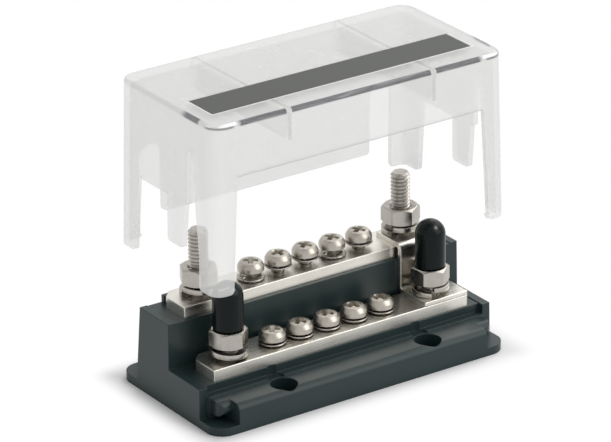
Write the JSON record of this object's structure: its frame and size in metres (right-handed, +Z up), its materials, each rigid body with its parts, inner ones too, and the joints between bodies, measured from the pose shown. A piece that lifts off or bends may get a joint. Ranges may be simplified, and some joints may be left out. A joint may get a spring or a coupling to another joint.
{
  "type": "bus bar",
  "caption": "Stepped bus bar block with linked plated bars, nut-topped studs, terminal screws and a frosted clip-on cover shown lifted clear for wiring.",
  "frame": {"origin": "middle of the base's underside", "axes": "+X along the bars to the end with the link plate, +Y from the low front deck to the high rear deck, +Z up"},
  "size_m": [0.112, 0.0564, 0.1028],
  "materials": {
    "base_plastic": "satin moulded",
    "plated_bar": "bright tin plate over copper alloy",
    "link_sheet": "bright tin plate over copper alloy",
    "hardware_steel": "bright stainless",
    "washer_steel": "bright stainless",
    "cap_vinyl": "soft vinyl, half gloss",
    "cover_clear": "frosted clear",
    "label": "printed film, left blank"
  },
  "bodies": {
    "base": {"base": "base_plastic", "rear_bus_bar": "plated_bar", "front_bus_bar": "plated_bar", "link_plate": "link_sheet", "stud_rear_left": "hardware_steel", "stud_rear_right": "hardware_steel", "stud_front_left": "hardware_steel", "stud_front_right": "hardware_steel", "spring_washer_rear_left": "washer_steel", "spring_washer_rear_right": "washer_steel", "spring_washer_front_left": "washer_steel", "spring_washer_front_right": "washer_steel"},
    "cover": {"cover": "cover_clear", "cover_label": "label"},
    "cap_left": {"stud_cap_left": "cap_vinyl"},
    "cap_right": {"stud_cap_right": "cap_vinyl"},
    "nut_rear_left": {"nut_rear_left": "hardware_steel"},
    "nut_rear_right": {"nut_rear_right": "hardware_steel"},
    "nut_front_left": {"nut_front_left": "hardware_steel"},
    "nut_front_right": {"nut_front_right": "hardware_steel"},
    "screw_rear_1": {"screw_rear_1": "hardware_steel", "tooth_washer_rear_1": "washer_steel"},
    "screw_rear_2": {"screw_rear_2": "hardware_steel", "tooth_washer_rear_2": "washer_steel"},
    "screw_rear_3": {"screw_rear_3": "hardware_steel", "tooth_washer_rear_3": "washer_steel"},
    "screw_rear_4": {"screw_rear_4": "hardware_steel", "tooth_washer_rear_4": "washer_steel"},
    "screw_rear_5": {"screw_rear_5": "hardware_steel", "tooth_washer_rear_5": "washer_steel"},
    "screw_front_1": {"screw_front_1": "hardware_steel", "tooth_washer_front_1": "washer_steel"},
    "screw_front_2": {"screw_front_2": "hardware_steel", "tooth_washer_front_2": "washer_steel"},
    "screw_front_3": {"screw_front_3": "hardware_steel", "tooth_washer_front_3": "washer_steel"},
    "screw_front_4": {"screw_front_4": "hardware_steel", "tooth_washer_front_4": "washer_steel"},
    "screw_front_5": {"screw_front_5": "hardware_steel", "tooth_washer_front_5": "washer_steel"}
  },
  "joints": [
    {"name": "cover_lift", "type": "slide", "parent": "base", "child": "cover", "axis": [0, 0, 1], "range_m": [-0.044, 0.016]},
    {"name": "cap_left_pull", "type": "slide", "parent": "base", "child": "cap_left", "axis": [0, 0, 1], "range_m": [0, 0.0135]},
    {"name": "cap_right_pull", "type": "slide", "parent": "base", "child": "cap_right", "axis": [0, 0, 1], "range_m": [0, 0.0135]},
    {"name": "nut_rear_left_turn", "type": "hinge", "parent": "base", "child": "nut_rear_left", "pos_m": [-0.0388, 0.00725, 0.0386], "axis": [0, 0, 1], "continuous": true},
    {"name": "nut_rear_right_turn", "type": "hinge", "parent": "base", "child": "nut_rear_right", "pos_m": [0.0388, 0.00725, 0.0386], "axis": [0, 0, 1], "continuous": true},
    {"name": "nut_front_left_turn", "type": "hinge", "parent": "base", "child": "nut_front_left", "pos_m": [-0.0388, -0.00905, 0.0232], "axis": [0, 0, 1], "continuous": true},
    {"name": "nut_front_right_turn", "type": "hinge", "parent": "base", "child": "nut_front_right", "pos_m": [0.0388, -0.00905, 0.0232], "axis": [0, 0, 1], "continuous": true},
    {"name": "screw_rear_1_turn", "type": "hinge", "parent": "base", "child": "screw_rear_1", "pos_m": [-0.01925, 0.00725, 0.0321], "axis": [0, 0, 1], "continuous": true},
    {"name": "screw_rear_2_turn", "type": "hinge", "parent": "base", "child": "screw_rear_2", "pos_m": [-0.00885, 0.00725, 0.0321], "axis": [0, 0, 1], "continuous": true},
    {"name": "screw_rear_3_turn", "type": "hinge", "parent": "base", "child": "screw_rear_3", "pos_m": [0.00155, 0.00725, 0.0321], "axis": [0, 0, 1], "continuous": true},
    {"name": "screw_rear_4_turn", "type": "hinge", "parent": "base", "child": "screw_rear_4", "pos_m": [0.01195, 0.00725, 0.0321], "axis": [0, 0, 1], "continuous": true},
    {"name": "screw_rear_5_turn", "type": "hinge", "parent": "base", "child": "screw_rear_5", "pos_m": [0.02235, 0.00725, 0.0321], "axis": [0, 0, 1], "continuous": true},
    {"name": "screw_front_1_turn", "type": "hinge", "parent": "base", "child": "screw_front_1", "pos_m": [-0.02235, -0.00905, 0.0167], "axis": [0, 0, 1], "continuous": true},
    {"name": "screw_front_2_turn", "type": "hinge", "parent": "base", "child": "screw_front_2", "pos_m": [-0.01195, -0.00905, 0.0167], "axis": [0, 0, 1], "continuous": true},
    {"name": "screw_front_3_turn", "type": "hinge", "parent": "base", "child": "screw_front_3", "pos_m": [-0.00155, -0.00905, 0.0167], "axis": [0, 0, 1], "continuous": true},
    {"name": "screw_front_4_turn", "type": "hinge", "parent": "base", "child": "screw_front_4", "pos_m": [0.00885, -0.00905, 0.0167], "axis": [0, 0, 1], "continuous": true},
    {"name": "screw_front_5_turn", "type": "hinge", "parent": "base", "child": "screw_front_5", "pos_m": [0.01925, -0.00905, 0.0167], "axis": [0, 0, 1], "continuous": true}
  ]
}
